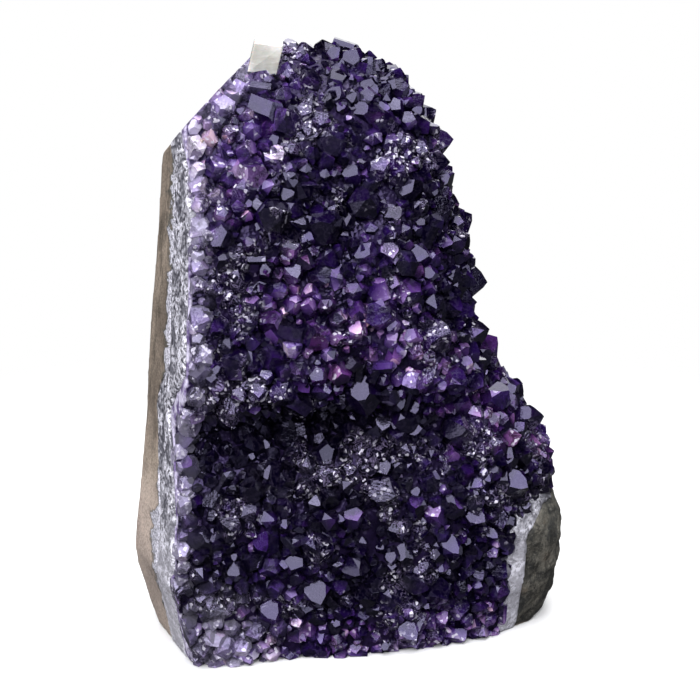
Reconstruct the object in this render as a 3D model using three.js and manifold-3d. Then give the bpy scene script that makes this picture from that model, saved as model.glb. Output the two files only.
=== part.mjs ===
// An amethyst cluster on a sawn base: a wall section of a basalt geode, standing on its cut foot.
// Millimetres. X runs to the right along the crystal face, Y runs back into the rock, Z is up.
// The stone is one rounded envelope. Two wavy sheets divide it into host rock, a chalcedony rim and a
// bed of intergrown crystals, and three flat saw cuts trim it: the foot, the polished left side and
// the bevel at the top left. The largest amethyst crystals and one calcite crystal are set in the bed.
import * as THREE from "three";
import { ConvexGeometry } from "three/addons/geometries/ConvexGeometry.js";
import { mergeVertices } from "three/addons/utils/BufferGeometryUtils.js";
import Module from "manifold-3d";

const wasm = await Module();
wasm.setup();

// Driving dimensions

// The envelope's half-section at each height: how far it reaches left, right, front and back.
const heights = [-4, 16, 45, 72, 95, 118, 136, 149, 153.5];
const leftReach = [51, 57.6, 54.8, 51.4, 48.9, 46.6, 44.2, 41, 31];
const rightReach = [54.5, 59, 55, 38, 30.5, 25.5, 19, 11, 1];
const frontReach = [25, 30, 32, 33, 32, 28, 22, 14, 7];
const backReach = [22, 36, 41, 37, 30, 23, 16, 10, 5];
const apexHeight = 155;
const axisX = [-6, -6, -8, -10, -12, -13, -14, -15, -16];
const frontLeftReach = 26; // extra reach of the front's left end, which the polished cut takes off
const frontSquareness = 2.8; // superellipse exponent of the crystal face
const backSquareness = 2.0;

// The deep groove between the upper and the lower mass of crystals.
const grooveHeight = 65;
const grooveRise = 0.06; // it climbs a little to the right
const grooveDepth = 19;
const grooveHalfHeight = 6.4;
const grooveCentre = -28;
const grooveHalfLength = 36;

// The two sheets inside the stone.
const bedSheet = -20; // back of the crystal bed behind the middle of the face
const leftThinning = 7; // the bed is this much thinner at the polished side
const leftThinningFrom = -24;
const leftThinningWidth = 22;
const leftThinningLow = [3, 22]; // it fades out between these heights
const rimThickness = 12;
const sheetSweep = 23; // how far the sheets run back towards the right side and the top
const sheetSweepWidth = 34;
const rockPatch = { left: 39, right: 48.5, low: 34, high: 45, pull: 48 }; // bare rock, right of the foot

// Saw cuts, each a point on the plane and the direction that is cut away.
const footCut = { point: [0, 0, 0], away: [0, 0, -1] };
const sideCut = { point: [-51, -30, 30], away: [-1, -0.16, 0.075] };
const bevelCut = { point: [-46.5, -25, 139], away: [-0.7, 0.22, 0.68] };
const wornEdge = { point: [-49.5, -15, 6], away: [-0.96, -0.15, -0.25] }; // left end of the foot

const gap = 0.3; // between pieces that touch
const ringSteps = 46;
const ringHeights = [
  -4, 6, 17, 29, 40, 49, 55, 60, 64, 67, 71, 77, 87, 99, 111, 123, 134, 143, 149.5, 153.5,
];
const sheetSteps = 15;

// The largest crystals of the druse.
const crystalCount = 48;
const siteTries = 6000;
const crystalSpacing = 11.6;
const crystalApothem = [2.9, 4.3]; // half the distance across two prism faces
const crystalRoot = 4.6; // how deep a crystal is rooted in the bed
const crystalStand = [0.6, 2.6]; // how much of its prism stands clear of the bed
const tipAngle = 38.2; // degrees between the c axis and a rhombohedral face of quartz
const crystalLean = 0.3;

const calcite = { at: [-23.2, 150.5], size: [7.2, 7, 7.6], skew: 0.12, root: 4 };

const colours = {
  basalt: 0x6b5d50,
  rim: 0xb9b8c6,
  bed: 0x3b2560,
  amethyst: 0x4a2a78,
  calcite: 0xe4e2da,
};

// Small helpers

const smooth = (t) => {
  const c = Math.min(Math.max(t, 0), 1);
  return c * c * (3 - 2 * c);
};
const bell = (t) => Math.exp(-t * t);

// A smooth curve through values given at heights, read at height z.
function along(values, z) {
  const last = heights.length - 1;
  let i = 0;
  while (i < last - 1 && z > heights[i + 1]) i += 1;
  const slope = (k) => {
    const a = Math.max(k - 1, 0);
    const b = Math.min(k + 1, last);
    return (values[b] - values[a]) / (heights[b] - heights[a]);
  };
  const span = heights[i + 1] - heights[i];
  const t = Math.min(Math.max((z - heights[i]) / span, 0), 1);
  const rise = t * t * (3 - 2 * t);
  const out = t * (1 - t) * (1 - t) * span * slope(i);
  const back = t * t * (t - 1) * span * slope(i + 1);
  return values[i] * (1 - rise) + values[i + 1] * rise + out + back;
}

// A repeatable stream of numbers from 0 to 1.
function stream(seed) {
  let state = seed;
  return () => {
    state = (state + 0x6d2b79f5) | 0;
    let t = Math.imul(state ^ (state >>> 15), 1 | state);
    t = (t + Math.imul(t ^ (t >>> 7), 61 | t)) ^ t;
    return ((t ^ (t >>> 14)) >>> 0) / 4294967296;
  };
}
const between = (range, t) => range[0] + (range[1] - range[0]) * t;

function solidOf(geometry) {
  const bare = geometry.index ? geometry.toNonIndexed() : geometry.clone();
  bare.deleteAttribute("normal");
  bare.deleteAttribute("uv");
  const merged = mergeVertices(bare, 1e-4);
  return new wasm.Manifold(
    new wasm.Mesh({
      numProp: 3,
      vertProperties: merged.attributes.position.array,
      triVerts: new Uint32Array(merged.index.array),
    }),
  );
}

function geometryOf(solid) {
  const mesh = solid.getMesh();
  const places = new Float32Array(mesh.numVert * 3);
  for (let i = 0; i < mesh.numVert; i += 1) {
    places.set(mesh.vertProperties.subarray(i * mesh.numProp, i * mesh.numProp + 3), i * 3);
  }
  const geometry = new THREE.BufferGeometry();
  geometry.setAttribute("position", new THREE.BufferAttribute(places, 3));
  geometry.setIndex(new THREE.BufferAttribute(new Uint32Array(mesh.triVerts), 1));
  const faceted = geometry.toNonIndexed();
  faceted.computeVertexNormals();
  return faceted;
}

// Booleans can leave crumbs beside the wanted body.
function largestBody(solid) {
  return solid.decompose().reduce((a, b) => (a.volume() > b.volume() ? a : b));
}

// The envelope

function groove(x, z) {
  const dip = z - grooveHeight - grooveRise * (x - grooveCentre);
  // The upper lip overhangs, so the groove closes faster upwards than downwards.
  const reach = dip > 0 ? grooveHalfHeight * 0.62 : grooveHalfHeight * 1.5;
  return grooveDepth * bell(dip / reach) * bell((x - grooveCentre) / grooveHalfLength);
}

// Broad swellings of the stone. They fade out towards the polished side.
const swelling = (x, y, z) =>
  1.5 * Math.sin(0.11 * x + 1.3) * Math.sin(0.085 * z + 0.4) +
  1.1 * Math.sin(0.19 * x - 0.12 * z + 2) +
  0.9 * Math.sin(0.16 * z + 0.13 * y);

// A point of the envelope. turn is 0 at the front, positive to the right, in radians.
function envelope(turn, z) {
  const across = Math.sin(turn);
  const ahead = Math.cos(turn);
  const middle = along(axisX, z);
  const front = ahead > 0;
  const leftEnd = along(leftReach, z) + middle + frontLeftReach * smooth(ahead / 0.35);
  const side = across > 0 ? along(rightReach, z) - middle : leftEnd;
  const depth = along(front ? frontReach : backReach, z);
  const n = front ? frontSquareness : backSquareness;
  const radius = 1 / Math.pow(
    Math.pow(Math.abs(across) / side, n) + Math.pow(Math.abs(ahead) / depth, n),
    1 / n,
  );
  let x = middle + radius * across;
  let y = -radius * ahead;
  const cut = groove(x, z) * smooth(ahead / 0.4);
  const calm = 1 - 0.75 * smooth((-30 - x) / 18);
  const grown = swelling(x, y, z) * calm * smooth((apexHeight - z) / 30) - cut;
  x += across * grown;
  y -= ahead * grown;
  return new THREE.Vector3(x, y, z);
}

// The closed envelope: rings of points from below the foot to the apex.
function envelopeGeometry() {
  const places = [];
  const faces = [];
  const low = ringHeights[0];
  const last = ringHeights.length - 1;
  for (let j = 0; j <= last; j += 1) {
    for (let i = 0; i < ringSteps; i += 1) {
      const turn = (2 * Math.PI * i) / ringSteps;
      // Points crowd towards the flat front and back, as an ellipse's do.
      const warped = turn + 0.22 * Math.sin(2 * turn + Math.PI);
      places.push(...envelope(warped, ringHeights[j]).toArray());
    }
  }
  const foot = places.length / 3;
  places.push(along(axisX, low), 0, low);
  places.push(along(axisX, ringHeights[last]), 0, apexHeight);
  for (let i = 0; i < ringSteps; i += 1) {
    const k = (i + 1) % ringSteps;
    for (let j = 0; j < last; j += 1) {
      const a = j * ringSteps + i;
      const b = j * ringSteps + k;
      faces.push(a, b, b + ringSteps, a, b + ringSteps, a + ringSteps);
    }
    const topRing = last * ringSteps;
    faces.push(foot, k, i);
    faces.push(foot + 1, topRing + i, topRing + k);
  }
  const geometry = new THREE.BufferGeometry();
  geometry.setAttribute("position", new THREE.Float32BufferAttribute(places, 3));
  geometry.setIndex(faces);
  return geometry;
}

// The sheets between the layers

// The Y at which the crystal bed ends and the rim begins. offset moves it back into the stone.
function sheetY(x, z, offset) {
  const right = along(rightReach, Math.min(z, 147));
  const sideways = smooth((x - right + sheetSweepWidth) / sheetSweepWidth);
  const upwards = smooth((z - 118) / sheetSweepWidth);
  const patch =
    smooth((x - rockPatch.left) / (rockPatch.right - rockPatch.left)) *
    (1 - smooth((z - rockPatch.low) / (rockPatch.high - rockPatch.low)));
  const wave = 1.2 * Math.sin(0.13 * z + 0.6) + 0.9 * Math.sin(0.17 * x - 0.07 * z);
  const [none, full] = leftThinningLow;
  const thinning = leftThinning * smooth((leftThinningFrom - x) / leftThinningWidth)
    * smooth((z - none) / (full - none));
  const layer = bedSheet - thinning + offset * (1 - 0.35 * Math.max(sideways, upwards)) + wave;
  return layer + sheetSweep * Math.max(sideways, upwards) + 0.8 * groove(x, z)
    - rockPatch.pull * patch;
}

// Everything in front of a sheet, as one closed block.
function inFrontOf(offset) {
  const block = new THREE.BoxGeometry(190, 200, 190, sheetSteps, 1, sheetSteps);
  block.translate(0, -100, 72);
  const place = block.attributes.position;
  for (let i = 0; i < place.count; i += 1) {
    if (place.getY(i) > -1) {
      place.setY(i, sheetY(place.getX(i), place.getZ(i), offset));
    }
  }
  return solidOf(block);
}

// Saw cuts

function cutAway({ point, away }) {
  const size = 400;
  const block = new THREE.BoxGeometry(size, size, size);
  block.translate(0, 0, size / 2);
  const turn = new THREE.Quaternion().setFromUnitVectors(
    new THREE.Vector3(0, 0, 1),
    new THREE.Vector3(...away).normalize(),
  );
  block.applyQuaternion(turn);
  block.translate(...point);
  return solidOf(block);
}

// How far a place lies inside a saw cut's plane.
function depthInside({ point, away }, place) {
  const normal = new THREE.Vector3(...away).normalize();
  return normal.dot(new THREE.Vector3(...point).sub(place));
}

// Crystals

// The corners of a convex solid given as planes: every point where three planes meet that lies
// inside all the others.
function cornersOf(planes) {
  const corners = [];
  const n = planes.length;
  for (let i = 0; i < n; i += 1) {
    for (let j = i + 1; j < n; j += 1) {
      for (let k = j + 1; k < n; k += 1) {
        const cross = planes[j].normal.clone().cross(planes[k].normal);
        const det = planes[i].normal.dot(cross);
        if (Math.abs(det) < 1e-6) continue;
        const corner = cross
          .multiplyScalar(planes[i].reach)
          .add(planes[k].normal.clone().cross(planes[i].normal).multiplyScalar(planes[j].reach))
          .add(planes[i].normal.clone().cross(planes[j].normal).multiplyScalar(planes[k].reach))
          .divideScalar(det);
        if (planes.every((p) => p.normal.dot(corner) < p.reach + 1e-5)) corners.push(corner);
      }
    }
  }
  return corners;
}

// A quartz point along +Z: six prism faces and six tip faces, of which every other one is larger.
// Its shoulder is at z 0, and its root at -length.
function quartzPlanes(apothem, length, random) {
  const planes = [{ normal: new THREE.Vector3(0, 0, -1), reach: length }];
  const lean = THREE.MathUtils.degToRad(tipAngle);
  const favoured = Math.floor(random() * 2);
  for (let i = 0; i < 6; i += 1) {
    const turn = (Math.PI / 3) * i;
    const out = new THREE.Vector3(Math.cos(turn), Math.sin(turn), 0);
    planes.push({ normal: out, reach: apothem * (0.93 + 0.14 * random()) });
    const tip = out.clone().multiplyScalar(Math.cos(lean));
    tip.z = Math.sin(lean);
    const held = i % 2 === favoured ? 0.78 + 0.1 * random() : 1.0 + 0.16 * random();
    planes.push({ normal: tip, reach: apothem * Math.cos(lean) * held });
  }
  return planes;
}

// The convex solid of a set of planes, each moved outwards by an offset.
function convexSolid(planes, offset) {
  const moved = planes.map(({ normal, reach }) => ({ normal, reach: reach + offset }));
  return new ConvexGeometry(cornersOf(moved));
}

// The envelope's outward direction, from two short steps over it.
function outward(turn, z) {
  const here = envelope(turn, z);
  const right = envelope(turn + 0.02, z).sub(here);
  const up = envelope(turn, z + 0.5).sub(here);
  return right.cross(up).normalize();
}

// Where the largest crystals stand, kept clear of each other, of the edges and of the calcite.
function crystalSites() {
  const random = stream(20);
  const sites = [];
  const calciteAt = calcitePlace().position;
  for (let tries = 0; tries < siteTries && sites.length < crystalCount; tries += 1) {
    const turn = (random() - 0.5) * 3.3;
    const z = 6 + 139 * random();
    const position = envelope(turn, z);
    const direction = outward(turn, z);
    const root = position.clone().addScaledVector(direction, -crystalRoot);
    const clear =
      sheetY(root.x, root.z, 0) - root.y > 1.5 &&
      depthInside(sideCut, position) > 7 &&
      depthInside(bevelCut, position) > 6 &&
      position.distanceTo(calciteAt) > crystalSpacing &&
      sites.every((s) => s.position.distanceTo(position) > crystalSpacing);
    if (clear) sites.push({ position, direction });
  }
  return sites.sort((a, b) => b.position.z - a.position.z);
}

function calcitePlace() {
  const [x, z] = calcite.at;
  const position = envelope(Math.atan2(x - along(axisX, z), along(frontReach, z)), z);
  return { position };
}

// A cleavage block of calcite: a box leaning over sideways.
function calciteGeometry() {
  const block = new THREE.BoxGeometry(...calcite.size);
  const place = block.attributes.position;
  for (let i = 0; i < place.count; i += 1) {
    place.setX(i, place.getX(i) + calcite.skew * place.getZ(i));
  }
  return block;
}

// Assembly

const stone = [footCut, sideCut, bevelCut, wornEdge].reduce(
  (left, cut) => left.subtract(cutAway(cut)),
  solidOf(envelopeGeometry()),
);
let rock = stone.subtract(inFrontOf(rimThickness + gap));
let rim = stone.intersect(inFrontOf(rimThickness)).subtract(inFrontOf(gap));
let bed = stone.intersect(inFrontOf(0));

const crystals = [];
const random = stream(7);
crystalSites().forEach((site, i) => {
  const apothem = between(crystalApothem, Math.pow(random(), 1.4));
  const stand = between(crystalStand, random());
  const length = crystalRoot + stand;
  const planes = quartzPlanes(apothem, length, random);
  const shape = convexSolid(planes, 0);
  const direction = site.direction
    .clone()
    .add(new THREE.Vector3(random() - 0.5, random() - 0.5, random() - 0.5).multiplyScalar(crystalLean))
    .normalize();
  const turn = new THREE.Quaternion()
    .setFromUnitVectors(new THREE.Vector3(0, 0, 1), direction)
    .multiply(new THREE.Quaternion().setFromAxisAngle(new THREE.Vector3(0, 0, 1), random() * Math.PI));
  const position = site.position.clone().addScaledVector(direction, stand);
  const socket = convexSolid(planes, gap);
  socket.applyQuaternion(turn).translate(...position.toArray());
  // A crystal near the edge is rooted through the bed into the rim, or even into the rock.
  const hole = solidOf(socket);
  bed = bed.subtract(hole);
  rim = rim.subtract(hole);
  rock = rock.subtract(hole);
  crystals.push({ name: `amethyst_point_${String(i + 1).padStart(2, "0")}`, shape, turn, position });
});

const calciteTurn = new THREE.Quaternion().setFromEuler(new THREE.Euler(0.12, 0.1, -0.2));
const calciteCentre = calcitePlace().position.clone();
calciteCentre.y -= calcite.size[1] / 2 - calcite.root;
calciteCentre.z += 4.2;
const calciteSocket = calciteGeometry();
const [calciteWide, calciteDeep, calciteHigh] = calcite.size;
calciteSocket.scale(1 + (2 * gap) / calciteWide, 1 + (2 * gap) / calciteDeep, 1 + (2 * gap) / calciteHigh);
calciteSocket.applyQuaternion(calciteTurn).translate(...calciteCentre.toArray());
const calciteHole = solidOf(calciteSocket);
bed = largestBody(bed.subtract(calciteHole));
rim = largestBody(rim.subtract(calciteHole));
rock = largestBody(rock);

// Meshes

const cluster = new THREE.Group();

function addPiece(name, geometry, colour, roughness, turn, position) {
  const material = new THREE.MeshStandardMaterial({ color: colour, roughness, metalness: 0 });
  const mesh = new THREE.Mesh(geometry, material);
  mesh.name = name;
  if (turn) mesh.quaternion.copy(turn);
  if (position) mesh.position.copy(position);
  cluster.add(mesh);
}

addPiece("basalt_matrix", geometryOf(rock), colours.basalt, 0.7);
addPiece("chalcedony_rim", geometryOf(rim), colours.rim, 0.45);
addPiece("amethyst_bed", geometryOf(bed), colours.bed, 0.25);
addPiece("calcite_crystal", calciteGeometry(), colours.calcite, 0.35, calciteTurn, calciteCentre);
crystals.forEach(({ name, shape, turn, position }) => {
  addPiece(name, shape, colours.amethyst, 0.12, turn, position);
});

// The origin is the middle of the overall box, on the foot.
cluster.updateMatrixWorld(true);
const box = new THREE.Box3().setFromObject(cluster, true);
cluster.position.set(-(box.min.x + box.max.x) / 2, -(box.min.y + box.max.y) / 2, -box.min.z);

export default cluster;
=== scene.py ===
import math
import bmesh
import bpy
import numpy as np
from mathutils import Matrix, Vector


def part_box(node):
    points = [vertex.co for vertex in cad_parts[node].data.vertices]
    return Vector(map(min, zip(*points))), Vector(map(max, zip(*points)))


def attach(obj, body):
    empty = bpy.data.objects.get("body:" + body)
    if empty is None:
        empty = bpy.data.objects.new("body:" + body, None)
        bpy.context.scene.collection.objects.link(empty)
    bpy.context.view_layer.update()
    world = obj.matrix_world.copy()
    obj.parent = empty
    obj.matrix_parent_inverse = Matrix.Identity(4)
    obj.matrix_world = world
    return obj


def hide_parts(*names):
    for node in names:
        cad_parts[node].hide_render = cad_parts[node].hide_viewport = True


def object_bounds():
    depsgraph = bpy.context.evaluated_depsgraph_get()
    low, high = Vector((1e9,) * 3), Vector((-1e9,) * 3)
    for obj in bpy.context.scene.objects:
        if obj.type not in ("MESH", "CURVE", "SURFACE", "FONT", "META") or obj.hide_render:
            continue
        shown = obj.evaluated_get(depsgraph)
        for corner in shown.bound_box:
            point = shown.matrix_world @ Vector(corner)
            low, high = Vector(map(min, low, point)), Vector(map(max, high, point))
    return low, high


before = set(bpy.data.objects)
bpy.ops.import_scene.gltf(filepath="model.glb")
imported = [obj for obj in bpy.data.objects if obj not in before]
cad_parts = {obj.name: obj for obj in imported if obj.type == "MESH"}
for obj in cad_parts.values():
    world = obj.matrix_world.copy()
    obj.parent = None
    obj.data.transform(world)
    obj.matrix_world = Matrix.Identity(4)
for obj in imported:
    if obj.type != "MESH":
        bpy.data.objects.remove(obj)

mm = 0.001
cadLow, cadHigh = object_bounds()
cadLow, cadHigh = [float(v) for v in cadLow], [float(v) for v in cadHigh]
width, depth, height = [h - l for l, h in zip(cadLow, cadHigh)]
print("frame", [round(v / mm, 1) for v in (width, depth, height)])

# Random values at the corners of the noise's cubes; they repeat every 32 cubes.
lattice = np.random.default_rng(5).random((32, 32, 32))


def valueNoise(points, size, shift=0.0):
    # Random values on a cubic lattice, blended smoothly between its eight nearest corners; 0 to 1.
    p = points / size + 100.0 + shift
    cell = np.floor(p).astype(int)
    t = p - cell
    t = t * t * (3 - 2 * t)
    total = np.zeros(len(p))
    for dx in (0, 1):
        for dy in (0, 1):
            for dz in (0, 1):
                corner = lattice[(cell[:, 0] + dx) % 32, (cell[:, 1] + dy) % 32, (cell[:, 2] + dz) % 32]
                share = (t[:, 0] if dx else 1 - t[:, 0])
                share = share * (t[:, 1] if dy else 1 - t[:, 1])
                share = share * (t[:, 2] if dz else 1 - t[:, 2])
                total += corner * share
    return total


def fractalNoise(points, size, octaves=4, shift=0.0):
    # Value noise summed over octaves, each half the size and half the strength of the last; -1 to 1.
    total, strength, weight = np.zeros(len(points)), 1.0, 0.0
    for octave in range(octaves):
        total += strength * (2 * valueNoise(points, size / 2 ** octave, shift + 7.3 * octave) - 1)
        weight += strength
        strength *= 0.5
    return total / weight


def smooth(t):
    # t held to 0..1 and eased at both ends.
    t = np.clip(t, 0, 1)
    return t * t * (3 - 2 * t)


def meshArrays(mesh):
    # Vertex places and normals in millimetres, and polygon centres, normals and areas.
    count, faces = len(mesh.vertices), len(mesh.polygons)
    places, normals = np.empty(count * 3), np.empty(count * 3)
    mesh.vertices.foreach_get("co", places)
    mesh.vertex_normals.foreach_get("vector", normals)
    centres, facing, areas = np.empty(faces * 3), np.empty(faces * 3), np.empty(faces)
    mesh.polygons.foreach_get("center", centres)
    mesh.polygons.foreach_get("normal", facing)
    mesh.polygons.foreach_get("area", areas)
    return (places.reshape(-1, 3) / mm, normals.reshape(-1, 3),
            centres.reshape(-1, 3) / mm, facing.reshape(-1, 3), areas)


sameCorner = 0.002 * mm         # vertices nearer than this are one


def mergedCopy(node):
    # A copy of a CAD node's mesh with its loose triangles joined.
    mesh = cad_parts[node].data.copy()
    shape = bmesh.new()
    shape.from_mesh(mesh)
    bmesh.ops.remove_doubles(shape, verts=shape.verts, dist=sameCorner)
    shape.to_mesh(mesh)
    shape.free()
    return mesh


def addObject(name, data):
    # A new object in the scene, at the origin.
    thing = bpy.data.objects.new(name, data)
    bpy.context.scene.collection.objects.link(thing)
    return thing


def refined(node, look):
    # The CAD layer as an even fine mesh, its facets smoothed out by drawing each vertex halfway
    # towards its neighbours' middle, again and again.
    rough = addObject(node + "_rough", mergedCopy(node))
    remesh = rough.modifiers.new("even", "REMESH")
    remesh.mode = "VOXEL"
    remesh.voxel_size = look["voxel"] * mm
    relax = rough.modifiers.new("relax", "SMOOTH")
    relax.factor = 0.5
    relax.iterations = look["smooth"]
    graph = bpy.context.evaluated_depsgraph_get()
    mesh = bpy.data.meshes.new_from_object(rough.evaluated_get(graph))
    bpy.data.objects.remove(rough)
    return mesh


# The saw cuts, in the frame's millimetres: a point on each and the direction it faces.
cuts = {
    "foot": ((0, 0, 0), (0, 0, -1)),
    "side": ((-52.38, -31.13, 30), (-1, -0.16, 0.075)),
    "bevel": ((-47.88, -26.13, 139), (-0.7, 0.22, 0.68)),
    "worn": ((-50.88, -16.13, 6), (-0.96, -0.15, -0.25)),
}
cutFacing = {cut: np.array(away) / np.linalg.norm(away) for cut, (_, away) in cuts.items()}


def cutDistance(points, cut):
    # How far inside a saw cut's plane the points lie, in millimetres.
    return -(points - np.array(cuts[cut][0])) @ cutFacing[cut]


class Nodes:
    # A small builder for one node tree. A value is a socket, a node (its first output) or a
    # constant; colours are given as three numbers.
    def __init__(self, tree):
        self.tree = tree
        self.tree.nodes.clear()

    def add(self, kind, inputs=None, **settings):
        node = self.tree.nodes.new(kind)
        for key, value in settings.items():
            setattr(node, key, value)
        for key, value in (inputs or {}).items():
            self.put(node.inputs[key], value)
        return node

    def put(self, socket, value):
        if isinstance(value, bpy.types.NodeSocket):
            self.tree.links.new(value, socket)
        elif isinstance(value, bpy.types.Node):
            self.tree.links.new(value.outputs[0], socket)
        elif socket.type == "RGBA":
            socket.default_value = (*value, 1.0)
        else:
            socket.default_value = value

    def maths(self, operation, *values):
        node = self.add("ShaderNodeMath", operation=operation)
        for socket, value in zip(node.inputs, values):
            self.put(socket, value)
        return node.outputs[0]

    def mix(self, factor, a, b):
        # Colour a where factor is 0, colour b where it is 1; 6, 7 and 2 are the colour sockets.
        return self.add("ShaderNodeMix", {0: factor, 6: a, 7: b}, data_type="RGBA").outputs[2]

    def ramp(self, value, low, high, start=0.0, end=1.0):
        # value taken from low..high to start..end, clamped, with eased ends.
        node = self.add("ShaderNodeMapRange", interpolation_type="SMOOTHSTEP")
        for socket, given in zip(node.inputs, (value, low, high, start, end)):
            self.put(socket, given)
        return node.outputs[0]

    def noise(self, where, scale, detail=4.0, roughness=0.55, distortion=0.0):
        node = self.add("ShaderNodeTexNoise", {
            "Vector": where, "Scale": scale, "Detail": detail,
            "Roughness": roughness, "Distortion": distortion})
        return node.outputs["Fac"]

    def stretched(self, where, scale):
        # The place with each axis multiplied by its own scale, for patterns longer one way.
        return self.add("ShaderNodeMapping", {"Vector": where, "Scale": scale}).outputs[0]

    def bump(self, heights, strength, distance):
        # The normal tilted by the slope of the heights, which count as distance metres high.
        node = self.add("ShaderNodeBump", {"Height": heights, "Strength": strength,
                                           "Distance": distance})
        return node.outputs[0]


def newMaterial(name):
    # An empty material with its shader, and the place on the object in metres.
    material = bpy.data.materials.new(name)
    material.use_nodes = True
    nodes = Nodes(material.node_tree)
    output = nodes.add("ShaderNodeOutputMaterial")
    shader = nodes.add("ShaderNodeBsdfPrincipled")
    nodes.put(output.inputs["Surface"], shader.outputs[0])
    where = nodes.add("ShaderNodeTexCoord").outputs["Object"]
    return material, nodes, shader, where


def seamGroup():
    # Shared by three materials. The mask is 1 where a noise crosses its middle value and falls
    # to 0 where it is Width away from it, which leaves thin wandering sheets.
    group = bpy.data.node_groups.new("thin seams", "ShaderNodeTree")
    group.interface.new_socket("Vector", in_out="INPUT", socket_type="NodeSocketVector")
    for name in ("Scale", "Detail", "Roughness", "Distortion", "Width"):
        group.interface.new_socket(name, in_out="INPUT", socket_type="NodeSocketFloat")
    group.interface.new_socket("Mask", in_out="OUTPUT", socket_type="NodeSocketFloat")
    nodes = Nodes(group)
    given = nodes.add("NodeGroupInput").outputs
    wave = nodes.noise(*(given[k] for k in ("Vector", "Scale", "Detail", "Roughness", "Distortion")))
    swing = nodes.maths("ABSOLUTE", nodes.maths("SUBTRACT", wave, 0.5))
    nodes.add("NodeGroupOutput", {"Mask": nodes.ramp(swing, given["Width"], 0.0)})
    return group


def grainGroup():
    # Shared by two materials. The mask is 1 within Core of the middle of each small cell and
    # falls to 0 at Edge, both as shares of a cell's size.
    group = bpy.data.node_groups.new("pale grains", "ShaderNodeTree")
    group.interface.new_socket("Vector", in_out="INPUT", socket_type="NodeSocketVector")
    for name in ("Scale", "Edge", "Core"):
        group.interface.new_socket(name, in_out="INPUT", socket_type="NodeSocketFloat")
    group.interface.new_socket("Mask", in_out="OUTPUT", socket_type="NodeSocketFloat")
    nodes = Nodes(group)
    given = nodes.add("NodeGroupInput").outputs
    cells = nodes.add("ShaderNodeTexVoronoi", {"Vector": given["Vector"], "Scale": given["Scale"]})
    nodes.add("NodeGroupOutput", {"Mask": nodes.ramp(cells.outputs["Distance"], given["Edge"],
                                                     given["Core"])})
    return group


thinSeams = seamGroup()
paleGrains = grainGroup()


def placed(nodes, group, **values):
    # A shared node group in a material, with the material's own values.
    node = nodes.add("ShaderNodeGroup", node_tree=group)
    for key, value in values.items():
        nodes.put(node.inputs[key], value)
    return node.outputs["Mask"]


amethystLook = {
    "depthShade": (0.002, 0.001, 0.009),    # painted shade: dark depths inside the crystals
    "veil": (0.62, 0.5, 0.86),
    # painted highlight for the glints
    "paintedGlint": (0.9, 0.86, 1.0),
    "sheen": (0.7, 0.66, 1.0),          # tint of the reflections
    "roughness": (0.05, 0.16),          # clear faces, frosted faces
    "ior": 1.55,
    "transmission": 0.3,
}


def crystalMaterial():
    # Crystal colour, with its painted shade at the roots and in the groove, comes per facet from the mesh;
    # veils, painted dark depths and painted glints are added here.
    look = amethystLook
    material, nodes, shader, where = newMaterial("amethyst")
    tint = nodes.add("ShaderNodeAttribute", attribute_name="tint").outputs["Color"]
    bright = nodes.add("ShaderNodeSeparateColor", {"Color": tint}).outputs[2]
    # Frosted patches: where a broad noise is high or the crystal's own colour is pale.
    patch = nodes.maths("MAXIMUM", nodes.ramp(nodes.noise(where, 75.0, 3.0), 0.5, 0.66),
                        nodes.ramp(bright, 0.08, 0.5))
    # Painted shade: near-black depths where a noise is high, mixed into the crystal colour.
    depthShade = nodes.ramp(nodes.noise(where, 190.0, 4.0, 0.6, 0.5), 0.42, 0.62)
    body = nodes.mix(nodes.maths("MULTIPLY", depthShade, 0.85), tint, look["depthShade"])
    veil = placed(nodes, thinSeams, Vector=where, Scale=480.0, Detail=4.0, Roughness=0.65,
                  Distortion=1.0, Width=0.045)
    body = nodes.mix(nodes.maths("MULTIPLY", veil, nodes.ramp(patch, 0.0, 1.0, 0.05, 0.5)), body,
                     nodes.mix(0.5, tint, look["veil"]))
    # Painted glints: the small cells whose random number is among the highest are painted near-white.
    cells = nodes.add("ShaderNodeTexVoronoi", {"Vector": where, "Scale": 1300.0})
    chance = nodes.add("ShaderNodeSeparateColor", {"Color": cells.outputs["Color"]}).outputs[0]
    paintedGlint = nodes.maths("MULTIPLY", nodes.ramp(chance, 0.88, 0.94),
                        nodes.ramp(patch, 0.0, 1.0, 0.0, 0.9))
    body = nodes.mix(paintedGlint, body, look["paintedGlint"])
    nodes.put(shader.inputs["Base Color"], body)
    nodes.put(shader.inputs["Roughness"], nodes.ramp(patch, 0.0, 1.0, *look["roughness"]))
    shader.inputs["IOR"].default_value = look["ior"]
    nodes.put(shader.inputs["Specular Tint"], look["sheen"])
    shader.inputs["Transmission Weight"].default_value = look["transmission"]
    # Growth lines across the prism, under the frost of the glittering patches.
    growth = nodes.noise(nodes.stretched(where, (1.0, 1.0, 2.2)), 420.0, 4.0, 0.65)
    lines = nodes.bump(growth, 0.45, 0.12 * mm)
    frost = nodes.add("ShaderNodeBump", {"Height": cells.outputs["Distance"], "Distance": 0.3 * mm,
                                         "Strength": nodes.ramp(patch, 0.0, 1.0, 0.02, 0.4),
                                         "Normal": lines})
    nodes.put(shader.inputs["Normal"], frost)
    return material


# The three layers' looks start with their voxel size, number of smoothing passes, growth past the
# CAD's skin and height of relief, the lengths in millimetres.
bedLook = {
    "voxel": 1.0, "smooth": 8, "grow": 0.15, "relief": 0.3,
    # dark and violet: partly the bed's own dark colour, partly painted shade between the crystals
    "dark": (0.001, 0.0006, 0.004),
    "violet": (0.012, 0.006, 0.03),
    # painted glints on the bed
    "paintedGlitter": (0.3, 0.25, 0.42),
    "rootsDark": (0.13, 0.09, 0.22),
    "rootsPale": (0.66, 0.62, 0.78),
    "sheen": (0.6, 0.5, 1.0),
    "ior": 1.42,
}


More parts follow.
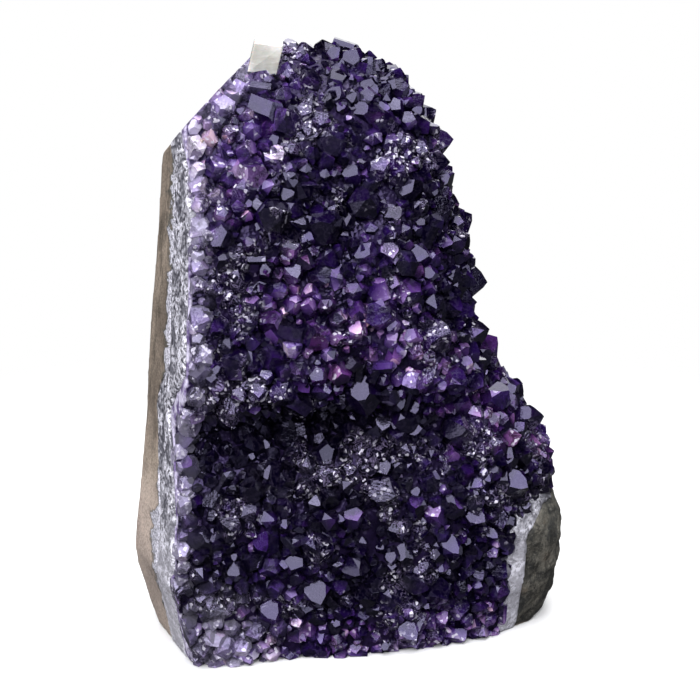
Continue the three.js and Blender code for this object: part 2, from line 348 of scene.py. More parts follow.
def bedMaterial():
    # The floor between the crystals: near-black, partly its own dark colour and partly painted shade
    # between the crystals, with painted glints standing for crystals too small to stand out.
    look = bedLook
    material, nodes, shader, where = newMaterial("amethyst_bed")
    grain = nodes.add("ShaderNodeTexVoronoi", {"Vector": where, "Scale": 900.0})
    patches = nodes.noise(where, 110.0, 4.0)
    # Near-black to dark violet by a noise, partly the bed's own colour and partly painted shade.
    body = nodes.mix(nodes.ramp(patches, 0.35, 0.7), look["dark"], look["violet"])
    # Painted glints: a few small cells painted pale.
    body = nodes.mix(nodes.ramp(grain.outputs["Color"], 0.85, 0.95, 0.0, 0.4), body, look["paintedGlitter"])
    # Where the saw has gone through, the crystals' pale roots show.
    sawn = nodes.add("ShaderNodeAttribute", attribute_name="sawn").outputs["Fac"]
    roots = nodes.mix(nodes.ramp(nodes.noise(where, 330.0, 5.0, 0.65), 0.4, 0.62),
                      look["rootsDark"], look["rootsPale"])
    nodes.put(shader.inputs["Base Color"], nodes.mix(sawn, body, roots))
    nodes.put(shader.inputs["Roughness"], nodes.ramp(patches, 0.3, 0.7, 0.2, 0.4))
    shader.inputs["IOR"].default_value = look["ior"]
    nodes.put(shader.inputs["Specular Tint"], look["sheen"])
    nodes.put(shader.inputs["Normal"], nodes.bump(grain.outputs["Distance"], 0.6, 0.4 * mm))
    return material


basaltLook = {
    "voxel": 0.7, "smooth": 6, "grow": 0.0, "relief": 1.6,
    "sawnDark": (0.22, 0.175, 0.14),
    "sawnPale": (0.5, 0.41, 0.33),
    "sawnTop": (0.09, 0.07, 0.05),
    "sawnHeel": (0.68, 0.56, 0.5),
    "streak": (0.075, 0.062, 0.048),
    "brokenDark": (0.02, 0.021, 0.02),
    "brokenPale": (0.15, 0.14, 0.115),
    "crack": (0.008, 0.007, 0.006),
    "spot": (0.26, 0.25, 0.22),
    "rust": (0.2, 0.1, 0.035),
    "grain": (0.02, 0.018, 0.016),
    "seam": (0.045, 0.05, 0.045),
    "tonguePale": (0.68, 0.67, 0.75),
    "tongueDark": (0.16, 0.16, 0.19),
    "fleck": (0.55, 0.52, 0.46),
}


def rockMaterial():
    # Basalt: brown-grey and fine-grained where sawn, darker and rusty where broken.
    look = basaltLook
    material, nodes, shader, where = newMaterial("basalt")
    place = nodes.add("ShaderNodeSeparateXYZ", {0: where}).outputs
    grain = nodes.noise(where, 1500.0, 5.0, 0.7)
    mottle = nodes.noise(where, 60.0, 6.0, 0.6)
    tall = nodes.ramp(place["Z"], 0.03, 0.08)

    # Sawn rock: streaked and darker above, plain and paler towards the foot.
    worn = nodes.mix(nodes.ramp(mottle, 0.35, 0.65), look["sawnDark"], look["sawnPale"])
    streaks = nodes.noise(nodes.stretched(where, (1.0, 1.3, 0.4)), 240.0, 5.0, 0.65, 0.8)
    worn = nodes.mix(nodes.maths("MULTIPLY", nodes.ramp(streaks, 0.46, 0.62, 0.0, 0.85), tall),
                     worn, look["streak"])
    worn = nodes.mix(nodes.maths("MULTIPLY", tall, 0.4), worn, look["sawnTop"])
    worn = nodes.mix(nodes.ramp(tall, 0.0, 0.4, 0.45, 0.0), worn, look["sawnHeel"])

    # Broken rock: cracks, pale spots and rust.
    blotch = nodes.ramp(nodes.noise(where, 150.0, 6.0, 0.7), 0.4, 0.6)
    broken = nodes.mix(blotch, look["brokenDark"], look["brokenPale"])
    cracks = placed(nodes, thinSeams, Vector=where, Scale=85.0, Detail=5.0, Roughness=0.6,
                    Distortion=0.8, Width=0.022)
    broken = nodes.mix(nodes.maths("MULTIPLY", cracks, 0.8), broken, look["crack"])
    spots = nodes.ramp(nodes.noise(where, 620.0, 3.0, 0.6), 0.6, 0.7, 0.0, 0.5)
    broken = nodes.mix(spots, broken, look["spot"])
    rust = nodes.ramp(nodes.noise(where, 38.0, 5.0, 0.65), 0.6, 0.75, 0.0, 0.6)
    broken = nodes.mix(rust, broken, look["rust"])

    sawn = nodes.add("ShaderNodeAttribute", attribute_name="sawn").outputs["Fac"]
    body = nodes.mix(sawn, broken, worn)
    body = nodes.mix(nodes.ramp(grain, 0.42, 0.6, 0.0, 0.75), body,
                     nodes.mix(0.55, body, look["grain"]))

    # Chalcedony runs into the sawn rock in ragged tongues, with a dark seam along it: edge is the
    # depth in millimetres, shifted by up to 13 either way by a noise.
    tongue = nodes.noise(nodes.stretched(where, (1.0, 0.5, 1.0)), 115.0, 5.0, 0.62, 0.6)
    edge = nodes.maths("ADD", nodes.maths("MULTIPLY", place["Y"], 1 / mm),
                       nodes.maths("MULTIPLY", nodes.maths("SUBTRACT", tongue, 0.5), 26.0))
    onSide = nodes.ramp(place["X"], -36 * mm, -42 * mm)
    seam = nodes.maths("MULTIPLY", nodes.ramp(edge, -9.4, -11.8), onSide)
    body = nodes.mix(nodes.maths("MULTIPLY", seam, 0.8), body, look["seam"])
    pale = nodes.maths("MULTIPLY", nodes.ramp(edge, -11.4, -12.2), onSide)
    body = nodes.mix(pale, body, nodes.mix(nodes.ramp(grain, 0.4, 0.6), look["tonguePale"],
                                           look["tongueDark"]))
    flecks = placed(nodes, paleGrains, Vector=where, Scale=1300.0, Edge=0.16, Core=0.08)
    body = nodes.mix(nodes.maths("MULTIPLY", flecks, 0.35), body, look["fleck"])

    nodes.put(shader.inputs["Base Color"], body)
    nodes.put(shader.inputs["Roughness"], nodes.ramp(grain, 0.3, 0.7, 0.5, 0.8))
    heights = nodes.maths("ADD", grain, nodes.maths("MULTIPLY", mottle, 2.0))
    nodes.put(shader.inputs["Normal"], nodes.bump(heights, nodes.ramp(sawn, 0.0, 1.0, 0.9, 0.2),
                                                  0.4 * mm))
    return material


rimLook = {
    "voxel": 0.6, "smooth": 5, "grow": 0.18, "relief": 0.35,
    "grey": (0.17, 0.17, 0.2),
    "white": (0.82, 0.81, 0.9),
    "speckle": (0.045, 0.043, 0.058),
    "milkAndPaintedLight": (0.88, 0.86, 0.95),
    "crack": (0.07, 0.065, 0.08),
    "grain": (0.86, 0.84, 0.92),
}


def rimMaterial():
    # Chalcedony passing into coarse white and lilac quartz.
    look = rimLook
    material, nodes, shader, where = newMaterial("chalcedony")
    speckle = nodes.noise(where, 900.0, 5.0, 0.75)
    patches = nodes.noise(where, 170.0, 5.0, 0.6, 0.4)
    body = nodes.mix(nodes.ramp(patches, 0.4, 0.58), look["grey"], look["white"])
    body = nodes.mix(nodes.ramp(speckle, 0.48, 0.55), body, look["speckle"])
    # Towards the foot the rim is paler, partly its own milky white and partly painted light lifting the
    # shade low down.
    up = nodes.add("ShaderNodeSeparateXYZ", {0: where}).outputs["Z"]
    body = nodes.mix(nodes.ramp(up, 45 * mm, 12 * mm, 0.0, 0.5), body, look["milkAndPaintedLight"])
    cracks = placed(nodes, thinSeams, Vector=where, Scale=260.0, Detail=4.0, Roughness=0.6,
                    Distortion=0.8, Width=0.03)
    body = nodes.mix(nodes.maths("MULTIPLY", cracks, 0.6), body, look["crack"])
    grains = placed(nodes, paleGrains, Vector=where, Scale=620.0, Edge=0.35, Core=0.12)
    body = nodes.mix(nodes.maths("MULTIPLY", grains, 0.45), body, look["grain"])
    nodes.put(shader.inputs["Base Color"], body)
    nodes.put(shader.inputs["Roughness"], nodes.ramp(patches, 0.3, 0.7, 0.28, 0.5))
    nodes.put(shader.inputs["Normal"], nodes.bump(speckle, 0.7, 0.3 * mm))
    return material


brokenLook = {
    "broad": 14.0,          # sizes of the relief's broad and fine shapes, in millimetres
    "fine": 3.2,
    "fineShare": 0.45,      # height of the fine ones over the broad ones
    "sawnWithin": 0.3,      # millimetres from a cut's plane that count as sawn
    "fullAfter": 1.6,       # millimetres beyond that at which the relief is full
    "leftOnSawn": 0.03,     # share of the relief left on sawn faces
}


def layerPiece(node, name, look, material):
    # One of the three layers: the CAD's shape with relief on its broken faces.
    broken = brokenLook
    mesh = refined(node, look)
    places, normals, _, _, _ = meshArrays(mesh)
    rough = np.ones(len(places))
    for cut in cuts:
        # 0 on the cut's own plane, rising to 1 a little way from it.
        fromPlane = np.abs(cutDistance(places, cut)) - broken["sawnWithin"]
        alongCut = normals @ cutFacing[cut] > 0.8       # within 37 degrees of the cut's own direction
        rough *= np.where(alongCut, smooth(fromPlane / broken["fullAfter"]), 1.0)
    # Broken rock: broad hollows, ridges and grit; sawn faces stay nearly flat.
    relief = fractalNoise(places, broken["broad"], 4)
    relief += broken["fineShare"] * fractalNoise(places, broken["fine"], 3, 3.0)
    relief *= look["relief"] * (broken["leftOnSawn"] + (1 - broken["leftOnSawn"]) * rough)
    places = places + normals * (relief + look["grow"])[:, None]
    places[:, 2] = np.maximum(places[:, 2], 0.0)
    mesh.vertices.foreach_set("co", (places * mm).ravel())
    flag = mesh.attributes.new("sawn", "FLOAT", "POINT")
    flag.data.foreach_set("value", (1 - rough).astype(np.float32))
    mesh.shade_smooth()
    mesh.update()
    mesh.materials.clear()
    mesh.materials.append(material)
    piece = addObject(name, mesh)
    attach(piece, "root")
    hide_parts(node)
    print(name, len(mesh.polygons), "faces")
    return piece


layerPiece("basalt_matrix", "rock_backing", basaltLook, rockMaterial())
layerPiece("chalcedony_rim", "pale_rim", rimLook, rimMaterial())
bed = layerPiece("amethyst_bed", "druse_floor", bedLook, bedMaterial())

# The crystal carpet. Lengths are in millimetres; apothem is half the width across two flat
# sides, stand how far the shoulder is above the surface, and tilt the spread of the lean.
druse = {
    "seed": 11,
    "lumps": 1.7,               # how far the carpet rises and falls
    "lumpSize": 15.0,
    "steepness": (0.8, 1.25),   # rise of a tip face over its run
    "root": 4.1,                # how far a crystal goes down below the surface
    "squeeze": (0.82, 1.2),     # width one way over the width the other way
    "offCentre": 0.16,          # of the tip, over the apothem
    "jitter": 0.3,
    "fromLarge": 3.6,           # the medium crystals keep this far from the large ones' middles
    "aboveFoot": 0.15,          # nothing goes lower than this
    "medium": {"tries": 14000, "spacing": 3.7, "apothem": (1.8, 3.1), "stand": (0.0, 1.4), "tilt": 0.27},
    "small": {"tries": 26000, "spacing": 2.6, "apothem": (0.9, 1.7), "stand": (0.1, 1.1), "tilt": 0.4},
}
bands = ((-1, 40), (40, 64), (64, 100), (100, 170))     # heights that share one mesh, in millimetres

# Crystal colours from near-black to pale lilac, in even steps of tone.
palette = np.array([
    (0.0006, 0.0003, 0.003),
    (0.005, 0.0016, 0.024),
    (0.020, 0.006, 0.078),
    (0.085, 0.037, 0.210),
    (0.280, 0.195, 0.480),
    (0.760, 0.700, 0.900),
])
chalkColour = np.array([0.66, 0.62, 0.8])
rustColour = np.array([0.55, 0.41, 0.08])

# Tone runs from 0 near-black to 1 pale lilac. For each effect its strength and, in a pair, the
# millimetres over which it fades; for the patches, their size.
tones = {
    "start": 0.27,              # of the crystals made here
    "largeStart": 0.17,         # of the CAD's own large points
    "patches": (0.3, 19.0),
    "side": (0.5, 6.0),
    "bevel": (0.34, 9.0),
    "foot": (0.16, 7.0),
    "right": (0.03, 30.0),
    # painted shadow in the groove
    "groove": (-0.36, 14.0),
    "zones": 1.1,               # times each zone's own number below
    # painted shade: each crystal darker towards its root
    "roots": -0.42,
    "perCrystal": 0.11,         # this and the rest: spread of the chance differences
    "perFacet": 0.15,
    "largePerFacet": 0.15,
    "plumPerCrystal": 0.2,
    "largePlum": 0.3,
}
heelPlace, heelReach = (-43, -27, 5), 11.0              # where the crystals pass into milky quartz
rustyPlaces, rustReach = ((-40, -25, 139), (-36, -23, 146.5), (-42, -25, 135)), 2.6

# Paler, darker and plum-coloured places of the druse, in millimetres:
# place, reach, how much paler, how much plum.
zones = (
    ((-27, -21, 143), 9, 0.4, 0.1),
    ((-37, -26, 131), 10, 0.34, 0.1),
    ((-26, -27, 131), 8, 0.2, 0.1),
    ((-38, -28, 119), 8, 0.3, 0.1),
    ((-27, -29, 118), 7, -0.24, 0.0),
    ((-38, -29, 100), 8, -0.2, 0.0),
    ((-27, -30, 102), 9, 0.28, 0.5),
    ((-15, -32, 91), 10, 0.26, 0.3),
    ((1, -33, 88), 10, 0.28, 0.2),
    ((7, -33, 77), 11, 0.4, 0.2),
    ((-10, -33, 78), 8, 0.12, 0.2),
    ((14, -30, 101), 8, 0.2, 0.1),
    ((6, -30, 109), 8, 0.1, 0.1),
    ((-6, -30, 115), 10, -0.16, 0.0),
    ((16, -24, 116), 9, -0.14, 0.0),
    ((22, -27, 78), 8, 0.26, 0.1),
    ((28, -27, 67), 9, 0.28, 0.3),
    ((33, -24, 56), 9, 0.16, 0.6),
    ((-6, -31, 50), 13, -0.2, 0.0),
    ((20, -28, 32), 12, -0.14, 0.0),
    ((38, -8, 74), 12, 0.1, 0.3),
    ((30, -4, 112), 12, 0.2, 0.3),
    ((52, -12, 48), 9, 0.32, 0.5),
    ((33, -24, 5), 9, 0.34, 0.2),
    ((8, -30, 6), 10, 0.24, 0.1),
    ((-6, -30, 5), 8, 0.2, 0.2),
    ((-26, -28, 6), 9, 0.38, 0.0),
    ((-38, -27, 5), 9, 0.45, 0.0),
)


def paint(tone, plum):
    # The palette read at tone, 0 near-black to 1 pale lilac; plum turns it towards magenta.
    steps = np.clip(tone, 0, 1) * (len(palette) - 1)
    low = np.minimum(steps.astype(int), len(palette) - 2)
    share = (steps - low)[..., None]
    shade = palette[low] * (1 - share) + palette[low + 1] * share
    push = np.stack([1 + 0.6 * plum, 1 - 0.15 * plum, 1 - 0.1 * plum], axis=-1)
    return shade * push


# Corners of one crystal: six at the root, six at the shoulder, two on each narrow prism face, three
# on the tip's ridges, and the apex. Wide and narrow tip faces take turns round the axis.
rootCorner, shoulder, notch, ridge, apex = 0, 6, 12, 18, 21
cornersEach = 22


def crystalFaces():
    # The corners round each face: per pair of sides a wide tip face, a narrow one and two prism
    # faces, and the hexagon under the root last.
    faces = []
    for i in range(6):
        before = (i - 1) % 6
        if i % 2 == 0:
            after = (i + 1) % 6
            faces.append([rootCorner + before, rootCorner + i, shoulder + i, shoulder + before])
            faces.append([shoulder + before, shoulder + i, notch + after - 1, ridge + after // 2,
                          apex, ridge + before // 2, notch + before])
        else:
            faces.append([rootCorner + before, rootCorner + i, shoulder + i, notch + i,
                          notch + i - 1, shoulder + before])
            faces.append([notch + i - 1, notch + i, ridge + i // 2])
    faces.append([5, 4, 3, 2, 1, 0])
    return faces


def crystalCorners(apothem, root, rise, uneven):
    # Where the tip planes z = shoulder + rise * (apothem - distance along the face's direction)
    # meet each other and the prism. The narrow faces' shoulders stand higher by uneven * apothem.
    count = len(apothem)
    corners = np.zeros((count, cornersEach, 3))
    turn = np.radians(30 + 60 * np.arange(6))
    outer = apothem[:, None] / math.cos(math.pi / 6)
    for start, level in ((rootCorner, -root), (shoulder, np.zeros(count))):
        corners[:, start:start + 6, 0] = outer * np.cos(turn)
        corners[:, start:start + 6, 1] = outer * np.sin(turn)
        corners[:, start:start + 6, 2] = level[:, None]
    lift = uneven * apothem
    along = (lift / rise - 0.5 * apothem) / math.cos(math.pi / 6)
    reach = 2 * lift / rise
    for k, i in enumerate((1, 3, 5)):
        facing = np.array([math.cos(math.radians(60 * i)), math.sin(math.radians(60 * i))])
        beside = np.array([-facing[1], facing[0]])
        for side, sign in ((0, 1), (1, -1)):
            spot = apothem[:, None] * facing + sign * along[:, None] * beside
            corners[:, notch + i - 1 + side, :2] = spot
            corners[:, notch + i - 1 + side, 2] = lift
        corners[:, ridge + k, :2] = reach[:, None] * facing
        corners[:, ridge + k, 2] = rise * apothem - lift
    corners[:, apex, 2] = rise * apothem
    return corners


def spread(candidates, spacing):
    # Indices of candidates, in order, that keep their spacing from each other. Kept points are
    # looked up in cubes of the spacing's size, in the point's own cube and the 26 round it.
    cubes = {}
    kept = []
    around = [(dx, dy, dz) for dx in (-1, 0, 1) for dy in (-1, 0, 1) for dz in (-1, 0, 1)]
    for i, (x, y, z) in enumerate(np.floor(candidates / spacing).astype(int).tolist()):
        near = (other for dx, dy, dz in around for other in cubes.get((x + dx, y + dy, z + dz), ()))
        if all(((candidates[i] - other) ** 2).sum() > spacing ** 2 for other in near):
            kept.append(i)
            cubes.setdefault((x, y, z), []).append(candidates[i])
    return np.array(kept)


def crystalSkin():
    # The bed's outer faces: not turned back to the rim, not within 1.2 mm of the sawn side, and
    # not lying in a cut's plane.
    _, _, centres, facing, areas = meshArrays(bed.data)
    outer = (facing[:, 1] < 0.3) & (cutDistance(centres, "side") > 1.2)
    for cut in cuts:
        flush = (cutDistance(centres, cut) < 1.0) & (facing @ cutFacing[cut] > 0.85)
        outer &= ~flush
    return centres[outer], facing[outer], areas[outer]


skinPlaces, skinFacing, skinAreas = crystalSkin()
rng = np.random.default_rng(druse["seed"])


def dropped(count):
    # Random faces of the skin, in proportion to their area, each place moved a little.
    picks = rng.choice(len(skinPlaces), count, p=skinAreas / skinAreas.sum())
    jitter = rng.normal(0, druse["jitter"], (count, 3))
    return skinPlaces[picks] + jitter, skinFacing[picks]


def nearness(points, place, reach):
    # e to the power of minus (distance from the place over reach) squared: 1 at the place.
    return np.exp(-((points - np.array(place)) ** 2).sum(axis=1) / reach ** 2)


def fading(distance, effect):
    # 1 at no distance, eased to 0 over the effect's own millimetres.
    over = tones[effect][1]
    return smooth((over - distance) / over)


def zoneTone(points):
    # Tone and plum of the druse by place, with painted shadow in the groove, and how chalky it is where it
    # passes into the rim.
    patch = fractalNoise(points, tones["patches"][1], 2, 9.0)
    side = fading(cutDistance(points, "side") - 3 * fractalNoise(points, 7.0, 2, 1.0), "side")
    bevel = fading(cutDistance(points, "bevel"), "bevel")
    footEdge = fading(points[:, 2], "foot")
    # The right flank starts further right the lower it is.
    right = smooth((points[:, 0] - 22 + 0.28 * (points[:, 2] - 70)) / tones["right"][1])
    # Painted shadow in the groove, which climbs to the right by a tenth and is deepest 26 mm left of the
    # middle.
    grooveHeight = 57 + 0.1 * (points[:, 0] + 28)
    groove = np.exp(-((points[:, 2] - grooveHeight) / tones["groove"][1]) ** 2)
    groove *= np.exp(-((points[:, 0] + 26) / 40) ** 2)
    tone = (tones["patches"][0] * patch + tones["side"][0] * side + tones["bevel"][0] * bevel
            + tones["foot"][0] * footEdge + tones["right"][0] * right)
    plum = np.zeros(len(points))
    for place, reach, paler, pink in zones:
        near = nearness(points, place, reach)
        tone = tone + tones["zones"] * paler * near
        plum = plum + pink * near
    # Chalky towards the sawn side, along the bevel and at the heel, whichever is strongest.
    heel = nearness(points, heelPlace, heelReach)
    chalk = np.maximum(np.maximum(0.75 * side, 0.4 * bevel), 0.8 * heel)
    # Painted shadow in the groove, weaker near the sawn side.
    return tone + tones["groove"][0] * groove * (1 - 0.6 * side), plum, chalk


def druseCrystals(places, facing, look):
    # Many crystals, each turned to the surface and leaning by chance: their corners as placed and
    # as they are about their own axis, with what colours and maps them.
    count = len(places)
    low, high = look["apothem"]
    apothem = low + (high - low) * rng.random(count) ** 1.7     # the thin ones are the most common
    rise = rng.uniform(*druse["steepness"], count)
    stand = rng.uniform(*look["stand"], count)
    stand += druse["lumps"] * fractalNoise(places, druse["lumpSize"], 2, 4.0)
    uneven = rng.uniform(0.04, 0.5, count) * rise
    corners = crystalCorners(apothem, druse["root"] + stand, rise, uneven)
    # Uneven growth: squeezed across, and the tip off centre.
    corners[:, :, 0] *= rng.uniform(*druse["squeeze"], count)[:, None]
    offset = rng.normal(0, druse["offCentre"], (count, 2)) * apothem[:, None]
    level = corners[:, :, 2] / (rise * apothem)[:, None]
    corners[:, :, :2] += level[:, :, None] * offset[:, None, :]

    axis = facing + rng.normal(0, look["tilt"], (count, 3))
    axis /= np.linalg.norm(axis, axis=1)[:, None]
    across = np.cross(axis, rng.normal(0, 1, (count, 3)))
    across /= np.linalg.norm(across, axis=1)[:, None]
    third = np.cross(axis, across)
    turned = (corners[:, :, 0:1] * across[:, None] + corners[:, :, 1:2] * third[:, None]
              + corners[:, :, 2:3] * axis[:, None])
    world = places[:, None] + turned + (facing * stand[:, None])[:, None]
    return {"world": sawnOff(world), "corners": corners, "places": places,
            "apothem": apothem, "rise": rise}


def sawnOff(world):
    # Corners that would stand out of a saw cut are brought back onto its plane, and those below
    # the foot up to it.
    flat = world.reshape(-1, 3)
    for cut in ("side", "bevel", "worn"):
        out = np.minimum(cutDistance(flat, cut), 0)
        flat = flat + out[:, None] * cutFacing[cut]
    flat[:, 2] = np.maximum(flat[:, 2], druse["aboveFoot"])
    return flat.reshape(world.shape)


def addTint(mesh, colours):
    # One colour per face corner, read by the crystal material.
    shade = np.ones((len(mesh.loops), 4), np.float32)
    shade[:, :3] = colours.reshape(-1, 3)
    tint = mesh.color_attributes.new("tint", "FLOAT_COLOR", "CORNER")
    tint.data.foreach_set("color", shade.ravel())


def buildCrystals(name, batch):
    # One mesh of all the batch's crystals, with their colours and their map.
    world, corners = batch["world"], batch["corners"]
    count = len(world)
    faces = crystalFaces()
    loops = np.concatenate(faces)
    sizes = np.array([len(f) for f in faces])
    allLoops = (loops[None, :] + cornersEach * np.arange(count)[:, None]).ravel()
    starts = np.concatenate([[0], np.cumsum(sizes)[:-1]])
    allStarts = (starts[None, :] + len(loops) * np.arange(count)[:, None]).ravel()

    mesh = bpy.data.meshes.new(name)
    mesh.vertices.add(count * cornersEach)
    mesh.vertices.foreach_set("co", (world.reshape(-1, 3) * mm).ravel())
    mesh.loops.add(len(allLoops))
    mesh.loops.foreach_set("vertex_index", allLoops)
    mesh.polygons.add(count * len(faces))
    mesh.polygons.foreach_set("loop_start", allStarts)
    mesh.update(calc_edges=True)
    mesh.shade_flat()

    # Tone: chance per crystal and per facet, painted shade darkening each crystal towards its root, and
    # the zones of the druse, with painted shadow in the groove.
    faceOf = np.repeat(np.arange(len(faces)), sizes)
    perCrystal = rng.normal(0, tones["perCrystal"], count)[:, None]
    perFacet = rng.normal(0, tones["perFacet"], (count, len(faces)))[:, faceOf]
    level = corners[:, loops, 2] / (batch["rise"] * batch["apothem"])[:, None]
    zone, zonePlum, chalk = zoneTone(batch["places"])
    tone = (tones["start"] + zone[:, None] + perCrystal + perFacet
            + tones["roots"] * smooth((0.75 - level) / 1.2))
    plum = rng.normal(0.0, tones["plumPerCrystal"], (count, 1)) + 0.6 * perFacet + zonePlum[:, None]
    shade = paint(tone, np.clip(plum, 0, 1))
    chalk = (chalk * rng.uniform(0.3, 1, count))[:, None, None]
    shade = shade * (1 - chalk) + chalk * chalkColour
    rusted = sum(nearness(batch["places"], place, rustReach) for place in rustyPlaces)
    rust = np.clip(2.5 * rusted - 0.4, 0, 1)[:, None, None]
    addTint(mesh, shade * (1 - rust) + rust * rustColour)

    # Each crystal has a cell of the map: its tip as seen from above, its prism as a ring round it.
    grid = math.ceil(math.sqrt(count))
    spot = corners[:, loops, :2] / batch["apothem"][:, None, None]
    deep = np.clip(-corners[:, loops, 2] / np.abs(corners[:, :, 2]).max(axis=1)[:, None], 0, 1)
    spot = spot * (1 + 0.45 * deep)[:, :, None] / 4.6 + 0.5
    spot[:, faceOf == len(faces) - 1] *= 0.02       # the root's underside, shrunk to a speck
    cell = np.stack([np.arange(count) % grid, np.arange(count) // grid], axis=1)[:, None, :]
    bake = mesh.uv_layers.new(name="OFBake")
    bake.uv.foreach_set("vector", ((cell + spot) / grid).astype(np.float32).ravel())
    return mesh


crystalLook = crystalMaterial()
largeNodes = sorted(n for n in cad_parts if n.startswith("amethyst_point_"))


def largeCrystals():
    # The CAD's own large points, their flat faces made whole and each given its own tone.
    mesh = bpy.data.meshes.new("large_points")
    joined = bmesh.new()
    for node in largeNodes:
        joined.from_mesh(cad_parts[node].data)
    bmesh.ops.remove_doubles(joined, verts=joined.verts, dist=sameCorner)
    bmesh.ops.dissolve_limit(joined, angle_limit=math.radians(1), verts=joined.verts,
                             edges=joined.edges)
    joined.to_mesh(mesh)
    joined.free()
    mesh.shade_flat()
    _, _, centres, _, _ = meshArrays(mesh)
    count = len(mesh.polygons)
    sizes = np.empty(count, int)
    mesh.polygons.foreach_get("loop_total", sizes)
    zone, zonePlum, _ = zoneTone(centres)
    tone = tones["largeStart"] + zone + rng.normal(0, tones["largePerFacet"], count)
    plum = np.clip(rng.normal(0.0, tones["largePlum"], count) + zonePlum, 0, 1)
    addTint(mesh, np.repeat(paint(tone, plum), sizes, axis=0))
    return mesh


def crystalPiece(mesh, name):
    # A piece of crystals with the shared material, on the one body.
    mesh.materials.clear()
    mesh.materials.append(crystalLook)
    piece = addObject(name, mesh)
    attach(piece, "root")
    print(name, len(mesh.polygons), "faces")
    return piece


large = crystalPiece(largeCrystals(), "large_points")
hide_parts(*largeNodes)
largeMiddles = np.array([[(a + b) / 2 / mm for a, b in zip(*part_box(n))] for n in largeNodes])

carpet = {}
for kind in ("medium", "small"):
    candidates, candidateFacing = dropped(druse[kind]["tries"])
    chosen = spread(candidates, druse[kind]["spacing"])
    if kind == "medium":
        apart = ((candidates[chosen][:, None] - largeMiddles) ** 2).sum(axis=2).min(axis=1)
        chosen = chosen[apart > druse["fromLarge"] ** 2]
    carpet[kind] = candidates[chosen], candidateFacing[chosen]
print("crystals", len(largeNodes), *(len(places) for places, _ in carpet.values()))

for kind, (places, facing) in carpet.items():
    for number, (low, high) in enumerate(bands, 1):
        name = f"{kind}_points_{number}"
        inside = (places[:, 2] >= low) & (places[:, 2] < high)
        crystalPiece(buildCrystals(name, druseCrystals(places[inside], facing[inside], druse[kind])), name)


calciteLook = {
    "wornEdge": 0.35,           # width of the worn edges in millimetres
    "shade": (0.42, 0.41, 0.37),
    "cream": (0.68, 0.67, 0.63),
    "veil": (0.95, 0.95, 0.95),
    "ior": 1.6,
    "glow": 0.15,               # share of light scattered inside, and how many millimetres deep
    "glowDepth": 2.0,
}


def calciteMaterial():
    # Cream-white calcite with cleavage planes showing as faint veils.
    look = calciteLook
    material, nodes, shader, where = newMaterial("calcite")
    veil = nodes.noise(nodes.stretched(where, (1.0, 1.0, 3.5)), 260.0, 4.0, 0.6)
    cloud = nodes.noise(where, 120.0, 4.0)
    body = nodes.mix(nodes.ramp(cloud, 0.3, 0.7), look["shade"], look["cream"])
    body = nodes.mix(nodes.ramp(veil, 0.55, 0.75, 0.0, 0.5), body, look["veil"])
    nodes.put(shader.inputs["Base Color"], body)
    nodes.put(shader.inputs["Roughness"], nodes.ramp(veil, 0.3, 0.7, 0.18, 0.4))
    shader.inputs["IOR"].default_value = look["ior"]
    shader.inputs["Subsurface Weight"].default_value = look["glow"]
    shader.inputs["Subsurface Scale"].default_value = look["glowDepth"] * mm
    nodes.put(shader.inputs["Normal"], nodes.bump(veil, 0.2, 0.1 * mm))
    return material


def calcitePiece():
    # The CAD block with its sharp edges worn off.
    mesh = mergedCopy("calcite_crystal")
    piece = addObject("calcite_block", mesh)
    bevel = piece.modifiers.new("edges", "BEVEL")
    bevel.width = calciteLook["wornEdge"] * mm
    bevel.segments = 2
    mesh.materials.clear()
    mesh.materials.append(calciteMaterial())
    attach(piece, "root")
    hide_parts("calcite_crystal")


calcitePiece()
print("calcite made")

floorLook = {
    "size": 6.0,                        # metres
    "roughness": 0.6,
    "lit": (0.02, 0.02, 0.022),         # what it gives back to the stone
    "seen": (0.92, 0.92, 0.92),         # what the camera sees of it near the stone
    "whiteFrom": 0.09,                  # metres from the middle where plain white sets in
    "whiteBy": 0.3,
}


def floorPiece():
    # The plane under the stone, belonging to the stage.
    look = floorLook
    bpy.ops.mesh.primitive_plane_add(size=look["size"], location=(0, 0, 0))
    floor = bpy.context.object
    floor.name = "floor"
    material, nodes, shader, where = newMaterial("floor")
    shader.inputs["Roughness"].default_value = look["roughness"]
    # Away from the stone the floor is seen as plain white, like the space behind it.
    away = nodes.add("ShaderNodeVectorMath", {0: where}, operation="LENGTH").outputs["Value"]
    seen = nodes.add("ShaderNodeLightPath").outputs["Is Camera Ray"]
    nodes.put(shader.inputs["Base Color"], nodes.mix(seen, look["lit"], look["seen"]))
    glow = nodes.maths("MULTIPLY", nodes.ramp(away, look["whiteFrom"], look["whiteBy"]), seen)
    white = nodes.add("ShaderNodeEmission", {"Color": (1, 1, 1), "Strength": 1.0})
    blend = nodes.add("ShaderNodeMixShader", {0: glow, 1: shader, 2: white})
    output = next(n for n in nodes.tree.nodes if n.type == "OUTPUT_MATERIAL")
    nodes.put(output.inputs["Surface"], blend)
    floor.data.materials.append(material)


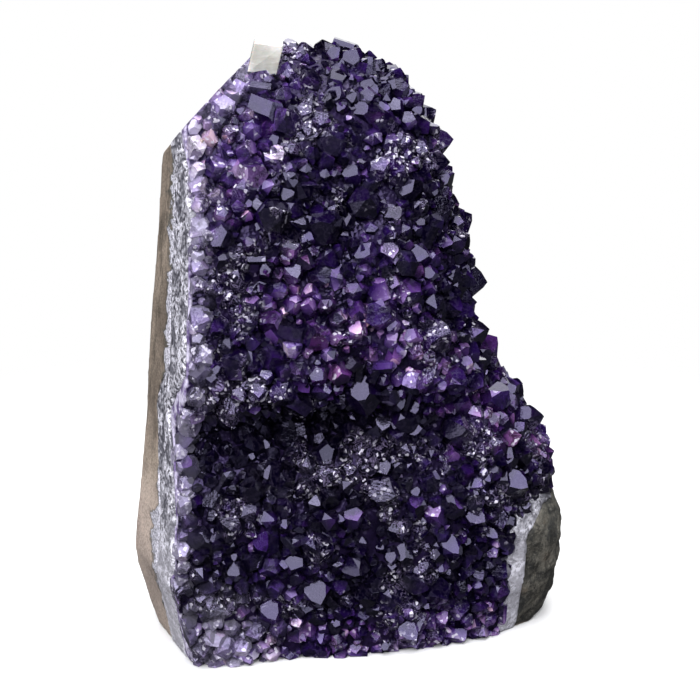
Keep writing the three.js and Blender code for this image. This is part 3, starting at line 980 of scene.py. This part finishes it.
lights = {
    # name: (place in metres, side in metres, watts, colour)
    "key": ((-0.55, -0.85, 0.9), 1.5, 38.0, (0.97, 0.97, 1.0)),
    "top": ((0.1, -0.1, 1.15), 1.0, 13.0, (1.0, 1.0, 1.0)),
    "fill": ((0.95, -0.65, 0.45), 0.6, 3.5, (0.94, 0.96, 1.0)),
    "low": ((-1.0, -0.25, 0.25), 0.5, 1.9, (1.0, 0.99, 1.0)),
    "back": ((0.2, 0.95, 0.7), 0.8, 6.0, (1.0, 1.0, 1.0)),
}


def softLight(name, place, side, power, tint):
    # A square lamp aimed at the middle of the stone.
    lamp = bpy.data.lights.new(name, "AREA")
    lamp.shape = "SQUARE"
    lamp.size = side
    lamp.energy = power
    lamp.color = tint
    thing = addObject(name, lamp)
    thing.location = place
    aim = Vector((0, 0, height / 2)) - Vector(place)
    thing.rotation_euler = aim.to_track_quat("-Z", "Y").to_euler()


# What the space round the stone gives to it, and what the camera sees of it.
studioLook = {"lit": (0.005, 0.005, 0.008), "seen": (1.0, 1.0, 1.0)}


def studioWorld():
    # White behind the object, dim round it, so that faces turned from the lights stay dark.
    world = bpy.data.worlds.new("studio")
    bpy.context.scene.world = world
    world.use_nodes = True
    nodes = Nodes(world.node_tree)
    seen = nodes.add("ShaderNodeLightPath").outputs["Is Camera Ray"]
    shade = nodes.mix(seen, studioLook["lit"], studioLook["seen"])
    background = nodes.add("ShaderNodeBackground", {"Color": shade, "Strength": 1.0})
    nodes.add("ShaderNodeOutputWorld", {"Surface": background})


# Angles in degrees, lens and sensor in millimetres, the rest in metres.
cameraLook = {"azimuth": -13.0, "elevation": 14.0, "lens": 100.0, "sensor": 36.0,
              "distance": 0.52, "aimHeight": 0.075}


def placeCamera():
    # At the given distance from the aim, in the direction of the azimuth and elevation.
    look = cameraLook
    azimuth, elevation = math.radians(look["azimuth"]), math.radians(look["elevation"])
    back = Vector((math.sin(azimuth) * math.cos(elevation),
                   -math.cos(azimuth) * math.cos(elevation), math.sin(elevation)))
    lens = bpy.data.cameras.new("camera")
    lens.lens = look["lens"]
    lens.sensor_width = look["sensor"]
    camera = addObject("camera", lens)
    camera.location = Vector((0, 0, look["aimHeight"])) + back * look["distance"]
    camera.rotation_euler = (-back).to_track_quat("-Z", "Y").to_euler()
    bpy.context.scene.camera = camera


floorPiece()
for lightName, (place, side, power, tint) in lights.items():
    softLight(lightName, place, side, power, tint)
studioWorld()
placeCamera()
bpy.context.scene.view_settings.view_transform = "Standard"
print("stage made")
